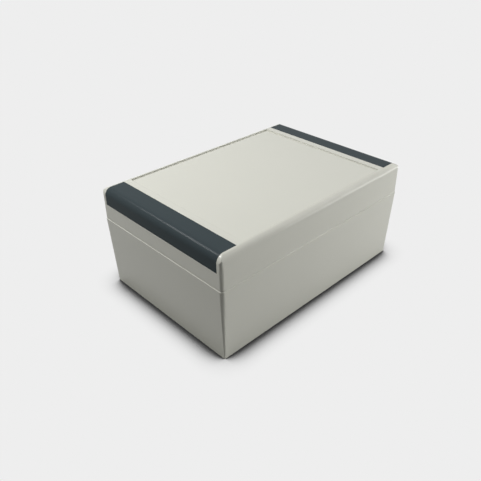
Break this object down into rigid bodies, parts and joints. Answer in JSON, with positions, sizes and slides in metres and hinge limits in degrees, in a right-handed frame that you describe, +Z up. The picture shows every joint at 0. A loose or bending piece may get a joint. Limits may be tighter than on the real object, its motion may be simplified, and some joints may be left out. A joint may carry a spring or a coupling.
{
  "type": "plastic project box",
  "caption": "Tall two-part plastic enclosure with a screwed, gasketed lid, a sunk keypad field and dark clip-on strips that cover the lid screws at both short ends.",
  "frame": {"origin": "middle of the foot, on the surface that the box stands on", "axes": "+X along the length, towards the right strip; +Y across the width; +Z up"},
  "size_m": [0.2208, 0.1508, 0.0957],
  "materials": {
    "case_abs": "satin light grey moulded ABS",
    "strip_abs": "satin slate grey moulded ABS",
    "seal_rubber": "soft foam rubber",
    "washer_rubber": "rubber",
    "stainless": "stainless steel",
    "brass": "turned brass"
  },
  "bodies": {
    "base": {"base": "case_abs", "lid_insert_1": "brass", "lid_insert_2": "brass", "lid_insert_3": "brass", "lid_insert_4": "brass", "board_insert_1": "brass", "board_insert_2": "brass", "board_insert_3": "brass", "board_insert_4": "brass"},
    "lid": {"lid": "case_abs", "gasket": "seal_rubber", "screw_washer_1": "washer_rubber", "screw_washer_2": "washer_rubber", "screw_washer_3": "washer_rubber", "screw_washer_4": "washer_rubber"},
    "left_strip": {"cover_strip_left": "strip_abs"},
    "right_strip": {"cover_strip_right": "strip_abs"},
    "screw_1": {"lid_screw_1": "stainless"},
    "screw_2": {"lid_screw_2": "stainless"},
    "screw_3": {"lid_screw_3": "stainless"},
    "screw_4": {"lid_screw_4": "stainless"}
  },
  "joints": [
    {"name": "lid_lift", "type": "slide", "parent": "base", "child": "lid", "axis": [0, 0, 1], "range_m": [0, 0.15]},
    {"name": "left_strip_pull", "type": "slide", "parent": "lid", "child": "left_strip", "axis": [-1, 0, 0], "range_m": [0, 0.04]},
    {"name": "right_strip_pull", "type": "slide", "parent": "lid", "child": "right_strip", "axis": [1, 0, 0], "range_m": [0, 0.04]},
    {"name": "screw_1_turn", "type": "hinge", "parent": "lid", "child": "screw_1", "pos_m": [-0.098, -0.061, 0.0725], "axis": [0, 0, 1], "continuous": true},
    {"name": "screw_2_turn", "type": "hinge", "parent": "lid", "child": "screw_2", "pos_m": [0.098, -0.061, 0.0725], "axis": [0, 0, 1], "continuous": true},
    {"name": "screw_3_turn", "type": "hinge", "parent": "lid", "child": "screw_3", "pos_m": [0.098, 0.061, 0.0725], "axis": [0, 0, 1], "continuous": true},
    {"name": "screw_4_turn", "type": "hinge", "parent": "lid", "child": "screw_4", "pos_m": [-0.098, 0.061, 0.0725], "axis": [0, 0, 1], "continuous": true}
  ]
}
